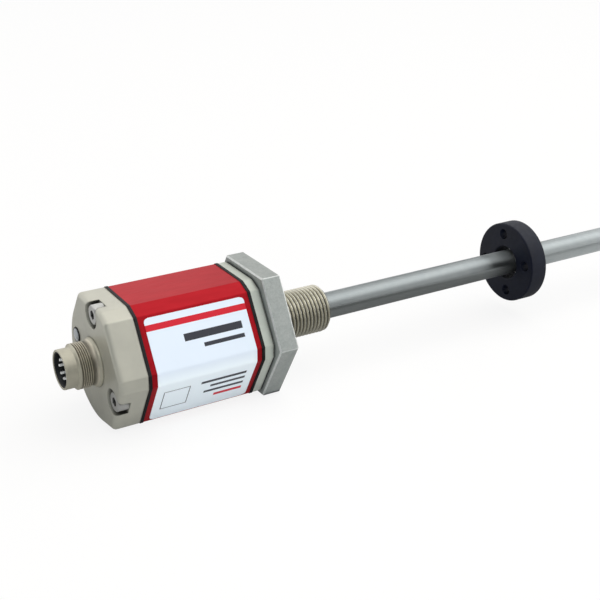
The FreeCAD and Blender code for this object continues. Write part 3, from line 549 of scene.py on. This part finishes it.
def connector_with_thread():
    """Sleeve with a rolled rim, coupling thread, undercut, flared collar, and tail in the cap."""
    angles = even_angles(CONNECTOR_COUNT)
    rings = rings_of(angles, (
        # rolled rim
        (PLUG_RIM + 0.12, PLUG_BORE_R),
        (PLUG_RIM + 0.02, PLUG_BORE_R + 0.08),
        (PLUG_RIM, PLUG_BORE_R + 0.2),
        (PLUG_RIM, SLEEVE_R - 0.28),
        (PLUG_RIM + 0.08, SLEEVE_R - 0.08),
        (PLUG_RIM + 0.28, SLEEVE_R),
        # shoulder up to the thread
        (-73.74, SLEEVE_R),
        (-73.66, SLEEVE_R + 0.06),
        (-73.30, PLUG_THREAD_R - 0.14),
        (-73.18, PLUG_THREAD_R - 0.02),
        (-73.08, PLUG_THREAD_R),
        (PLUG_THREAD_FRONT - 0.06, PLUG_THREAD_R),
    ))
    rings += thread_rings(PLUG_THREAD_FRONT, PLUG_THREAD_REAR, PLUG_THREAD_R, PLUG_DEPTH,
                          PLUG_PITCH, angles, per_turn=16, lead_in=0.3, lead_out=0.25)
    rings += rings_of(angles, (
        # undercut, flaring out to the collar
        (PLUG_THREAD_REAR + 0.05, NECK_R),
        (-68.10, NECK_R),
        (-67.60, NECK_R + 0.12),
        (-67.10, NECK_R + 0.38),
        (-66.75, NECK_R + 0.66),
        (-66.55, NECK_R + 0.92),
        (-66.46, COLLAR_R - 0.06),
        (-66.36, COLLAR_R),
        (CAP_FACE, COLLAR_R),
        # tail inside the cap
        (CAP_FACE, TAIL_R),
        (TAIL_END, TAIL_R),
        (TAIL_END, PLUG_BORE_R),
    ))
    return closed_turning("connector_body", rings)


def connector_liner():
    """Black sleeve that lines the connector in front of its insert."""
    front, rear, outside, inside = -77.55, -69.32, 6.16, 5.72
    rings = rings_of(even_angles(LINER_COUNT), (
        (front, outside), (rear, outside), (rear, inside),
        (-77.35, inside), (-77.50, 5.80), (front, 5.92)))
    return closed_turning("connector_liner", rings)


def window_bezel_and_shadow():
    """Dark bezel that holds the light window, standing out of the cap's face;
    its darkness is partly painted shadow round the lens.
    """
    rings = rings_of(even_angles(WINDOW_COUNT), (
        (CAP_FACE - 0.34, 2.72), (CAP_FACE - 0.42, 2.66), (CAP_FACE - 0.42, 2.46),
        (CAP_FACE - 0.34, 2.40), (CAP_FACE + 0.90, 2.38), (CAP_FACE + 0.90, 2.72)), WINDOW_AT)
    return closed_turning("window_bezel_and_shadow", rings)


def window_lens():
    """Pale lens, slightly domed within its bezel."""
    rim, dome, radius, tail = CAP_FACE - 0.30, 0.50, 2.36, CAP_FACE + 2.9
    turns = [t * math.pi / 2 for t in (0.02, 0.15, 0.3, 0.45, 0.6, 0.72, 0.84, 0.93, 1.0)]
    profile = [(rim - dome * math.cos(t), radius * math.sin(t)) for t in turns]
    profile += [(tail, 2.24), (tail, 0.05)]
    rings = rings_of(even_angles(WINDOW_COUNT), profile, WINDOW_AT)
    return closed_turning("window_lens", rings)


# The pieces in their materials
def dressed(piece, material):
    """The piece in one material and one slot."""
    piece.data.materials.clear()
    piece.data.materials.append(material)
    return piece


# Below, colours given for gaps and thread roots are painted shade, and colours given for edges are
# partly wear and partly painted highlight
materials = {
    # the cap, the shell and what is fixed to them
    "painted_cap": coated("cap_paint", srgb(206, 205, 192), srgb(198, 197, 185), 0.38,
                          metallic=0.5, edge=0.8, grime=srgb(44, 41, 34)),
    "cover_paint": coated("cover_paint", srgb(208, 214, 205), srgb(200, 206, 197), 0.46,
                          metallic=0.3, edge=0.5, grime=srgb(60, 56, 46)),
    "red_shell": drawn_metal("red_anodised", srgb(196, 24, 38), srgb(186, 18, 33), 0.40,
                             metallic=0.7, depth=4e-7, edge=0.5),
    "label_film": printed_film(),
    "black_rubber": coated("rubber", srgb(20, 20, 22), srgb(13, 13, 15), 0.62,
                           grain=2600, depth=1.2e-5),
    "bright_steel": turned_metal("screw_steel", srgb(212, 212, 208), srgb(198, 198, 195), 0.34,
                                 metallic=0.7, edge=0.3, grime=srgb(14, 14, 14), reach=3.5),
    "window": coated("window_lens", srgb(196, 203, 208), srgb(176, 185, 192), 0.16,
                     edge=0.1, Coat_Weight=0.6),
    # the flange, the rod and its magnet
    "flange_steel": turned_metal("flange_steel", srgb(180, 185, 182), srgb(166, 172, 170), 0.44,
                                 metallic=0.4, edge=0.3, worn=srgb(244, 246, 242),
                                 cast=2.4e-5, grime=srgb(46, 52, 58), reach=1.6),
    # lighter tone for the hexagon's chamfers and rounded corners: a painted highlight
    "flange_edge": turned_metal("flange_edge", srgb(232, 235, 232), srgb(206, 211, 210), 0.40,
                                metallic=0.5, edge=0.2, spots=(3, 3, 3)),
    "stub_thread": turned_metal("stub_thread", srgb(234, 230, 213), srgb(219, 215, 199), 0.28,
                                metallic=0.9, edge=0, depth=1e-6, grime=srgb(98, 98, 96),
                                roots=(8.05, 8.75)),
    "rod_steel": turned_metal("rod_steel", srgb(178, 184, 184), srgb(171, 178, 179), 0.34,
                              edge=0, depth=2e-8, Anisotropic=0.85, Anisotropic_Rotation=0.25),
    "ring_ferrite": coated("ring_plastic", srgb(11, 18, 36), srgb(8, 13, 28), 0.50,
                           grain=3400, edge=0.4, grime=srgb(3, 4, 6), Specular_IOR_Level=0.3),
    # the connector
    "connector_metal": turned_metal("connector_nickel", srgb(206, 202, 184),
                                    srgb(192, 188, 171), 0.38, metallic=0.6, edge=0.15,
                                    worn=srgb(228, 224, 210), grime=srgb(52, 47, 36), reach=0.8),
    "plug_thread": turned_metal("plug_thread", srgb(222, 215, 196), srgb(208, 201, 182), 0.32,
                                metallic=0.7, edge=0, depth=1e-6, grime=srgb(46, 41, 30),
                                roots=(7.52, 7.96)),
    "contact_metal": coated("silver_contacts", srgb(252, 252, 250), srgb(244, 244, 242), 0.30,
                            metallic=0.3),
    "black_insert": coated("insert_plastic", srgb(24, 28, 30), srgb(17, 20, 22), 0.48),
    # inside the housing and the rod
    "lamp": coated("lamp_body", srgb(150, 215, 160), srgb(132, 200, 146), 0.2),
    "chassis_plastic": coated("chassis_plastic", srgb(58, 58, 60), srgb(48, 48, 50), 0.55),
    "board": coated("board_mask", srgb(22, 102, 60), srgb(16, 88, 50), 0.32),
    "chip_black": coated("chip_epoxy", srgb(34, 34, 36), srgb(26, 26, 28), 0.6),
    "tinned": turned_metal("tinned", srgb(208, 208, 204), srgb(190, 190, 188), 0.34),
    "copper": turned_metal("copper_wire", srgb(196, 116, 72), srgb(178, 98, 58), 0.34,
                           marks=4200, depth=2e-5),
    "bobbin_plastic": coated("bobbin_plastic", srgb(206, 200, 182), srgb(196, 190, 172), 0.5),
    "hard_magnet": coated("hard_magnet", srgb(74, 74, 78), srgb(62, 62, 66), 0.5, metallic=0.6),
    "guide_alloy": drawn_metal("guide_alloy", srgb(184, 180, 174), srgb(170, 167, 162), 0.24),
    "sleeve_plastic": coated("sleeve_plastic", srgb(226, 226, 222), srgb(214, 214, 210), 0.42),
    "damper_rubber": coated("damper_rubber", srgb(92, 66, 58), srgb(80, 56, 50), 0.7),
}
for part in frame["record"]["subparts"]:
    node = frame["nodes"].get(part["node"])
    if node is not None:
        node.data.materials.clear()
        paint = "cover_paint" if part["node"] == "flange_cover" else part["material_slot"]
        node.data.materials.append(materials[paint])

flange = dressed(flange_with_thread(), materials["flange_steel"])
for extra in ("stub_thread", "flange_edge"):
    flange.data.materials.append(materials[extra])
# Faces past the relief take the thread's material; chamfers and rounded corners of the hexagon
# take the lighter edge tone, a painted highlight
for face in flange.data.polygons:
    lean = abs(face.normal.x)
    off = off_corner(math.atan2(face.center.z, face.center.y))
    on_bevel = 0.4 < lean < 0.9
    on_corner = lean < 0.1 and abs(off) < 0.01
    if face.center.x > RELIEF_END * MM:
        face.material_index = 1
    elif face.center.yz.length > 0.9 * FLANGE_FLAT * MM and (on_bevel or on_corner):
        face.material_index = 2
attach(flange, "sensor")
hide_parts("process_flange")

connector = dressed(connector_with_thread(), materials["connector_metal"])
connector.data.materials.append(materials["plug_thread"])
for face in connector.data.polygons:
    outside = face.center.yz.length > PLUG_BORE_R * 1.1 * MM
    if outside and PLUG_THREAD_FRONT < face.center.x / MM < NECK_END:
        face.material_index = 1
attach(connector, "sensor")
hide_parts("connector_shell")

liner = dressed(connector_liner(), materials["black_insert"])
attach(liner, "sensor")

rod = dressed(pressure_rod(), materials["rod_steel"])
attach(rod, "sensor")
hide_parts("pressure_tube")

film = dressed(label_film(), materials["label_film"])
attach(film, "sensor")
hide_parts("label")

lens = dressed(window_lens(), materials["window"])
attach(lens, "sensor")
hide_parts("status_window")
# Dark bezel, partly painted shadow round the lens
lens_bezel_and_shadow = dressed(window_bezel_and_shadow(), materials["chassis_plastic"])
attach(lens_bezel_and_shadow, "sensor")


# Camera, floor and light, in metres
CAMERA_AT = Vector((-0.18318, -0.32680, 0.17117))
CAMERA_RIGHT, CAMERA_BACK = (0.8549, -0.5188, 0.0058), (-0.4779, -0.7829, 0.3984)
SENSOR_WIDTH, FOCAL_LENGTH = 36.0, 67.04  # these two in millimetres
FLOOR_LEVEL, FLOOR_GLOW = -0.023, 0.86  # the second is the share of its white that glows
FLOOR_CORNERS = ((-0.55, -0.26), (0.85, -0.26), (0.85, 1.3), (-0.55, 1.3))
ALONG_X, ALONG_Y, NEARLY_UP = (1.0, 0.0, 0.0), (0.0, 1.0, 0.0), (0.0, -0.1, 0.995)
SMOOTH = "SMOOTHSTEP"


def grey(level):
    return (level, level, level, 1)


def light_paths(graph):
    """Rays of the camera, and rays that mirror or pass through: each 1 or 0."""
    rays = graph.node("ShaderNodeLightPath").outputs
    mirrored = graph.math("MAXIMUM", rays["Is Glossy Ray"], rays["Is Transmission Ray"])
    return rays["Is Camera Ray"], mirrored


def lamp(name, place, towards, size, watts, colour):
    """Rectangular lamp that no surface mirrors."""
    data = bpy.data.lights.new(name, "AREA")
    data.shape = "RECTANGLE"
    data.size, data.size_y = size
    data.energy = watts
    data.color = colour
    made = bpy.data.objects.new(name, data)
    made.visible_glossy = False
    bpy.context.scene.collection.objects.link(made)
    made.location = place
    made.rotation_mode = "QUATERNION"
    made.rotation_quaternion = (Vector(towards) - Vector(place)).to_track_quat("-Z", "Y")


right, back = Vector(CAMERA_RIGHT).normalized(), Vector(CAMERA_BACK).normalized()
up = back.cross(right).normalized()
right = up.cross(back).normalized()
camera = bpy.data.objects.new("camera", bpy.data.cameras.new("camera"))
bpy.context.scene.collection.objects.link(camera)
camera.data.sensor_width = SENSOR_WIDTH
camera.data.lens = FOCAL_LENGTH
camera.data.clip_start, camera.data.clip_end = 0.01, 50.0
turn = Matrix((right, up, back)).transposed().to_4x4()
camera.matrix_world = Matrix.Translation(CAMERA_AT) @ turn
bpy.context.scene.camera = camera

# The floor is white to the camera, keeps a soft shadow, and throws less light back up
floor_mesh = bpy.data.meshes.new("floor")
floor_mesh.from_pydata([(x, y, FLOOR_LEVEL) for x, y in FLOOR_CORNERS], [], [(0, 1, 2, 3)])
floor = bpy.data.objects.new("floor", floor_mesh)
bpy.context.scene.collection.objects.link(floor)
floor_paint = bpy.data.materials.new("pale_floor")
floor_paint.use_nodes = True
g = Graph(floor_paint.node_tree)
g.tree.nodes.remove(g.tree.nodes["Principled BSDF"])
seen, mirrored = light_paths(g)
matt = g.node("ShaderNodeBsdfDiffuse")
throwing = g.mix(mirrored, grey(0.75), grey(0.14))
g.link(g.mix(seen, throwing, grey(0.95)), matt.inputs["Color"])

# Metal shows it lighter in front of the part, behind it, and past the rod's far end
split = g.node("ShaderNodeSeparateXYZ")
g.link(g.node("ShaderNodeNewGeometry").outputs["Position"], split.inputs[0])
x, y = split.outputs[:2]
towards_front = g.spread(y, 0.0, 0.16, start=-0.085, end=-0.03, ease=SMOOTH)
towards_end = g.spread(x, 0.0, 0.60, start=0.125, end=0.16, ease=SMOOTH)
behind = g.spread(y, 0.0, 0.5, start=0.015, end=0.045, ease=SMOOTH)
lightest = g.math("MAXIMUM", g.math("ADD", towards_front, towards_end), behind)
in_metal = g.math("MULTIPLY", mirrored, lightest)
blend = g.node("ShaderNodeMixShader")
g.link(g.math("ADD", g.math("MULTIPLY", seen, FLOOR_GLOW), in_metal), blend.inputs[0])
g.link(matt.outputs[0], blend.inputs[1])
g.link(g.node("ShaderNodeEmission").outputs[0], blend.inputs[2])
g.link(blend.outputs[0], g.tree.nodes["Material Output"].inputs["Surface"])
floor.data.materials.append(floor_paint)

# White backdrop to the camera; metal and glass show it dimmer where it stands behind the part.
# The room's own light is a soft panel overhead, with more light past the rod's far end.
world = bpy.data.worlds.new("studio")
bpy.context.scene.world = world
world.use_nodes = True
g = Graph(world.node_tree)
seen, mirrored = light_paths(g)
towards = g.node("ShaderNodeTexCoord").outputs["Generated"]
along_x, along_y = g.dot(towards, ALONG_X), g.dot(towards, ALONG_Y)
overhead = g.spread(g.dot(towards, NEARLY_UP), 0.07, 0.92, start=0.52, end=0.90, ease=SMOOTH)
far_end = g.spread(along_x, 0.0, 1.80, start=0.64, end=0.68, ease=SMOOTH)
backdrop = g.math("MULTIPLY", g.spread(along_y, 0.0, 1.0, start=0.10, end=0.50, ease=SMOOTH),
                  g.spread(along_x, 1.0, 0.05, start=0.44, end=0.52))
shown = g.math("MAXIMUM", seen, g.math("MULTIPLY", mirrored, backdrop))
room = g.math("ADD", g.math("MULTIPLY", overhead, g.math("ADD", far_end, 1.0)), far_end)
background = g.tree.nodes["Background"].inputs
background["Color"].default_value = grey(1)
g.link(g.math("MAXIMUM", room, shown), background["Strength"])

lamp("key", place=(0.42, -0.06, 1.20), towards=(0.03, 0.0, 0.0), size=(1.6, 1.0),
     watts=7.4, colour=(1.0, 0.93, 0.82))
lamp("fill", place=(-0.66, -1.10, 0.10), towards=(0.0, 0.0, 0.0), size=(0.9, 0.7),
     watts=8.3, colour=(0.90, 0.96, 1.0))

bpy.context.scene.view_settings.view_transform = "Standard"
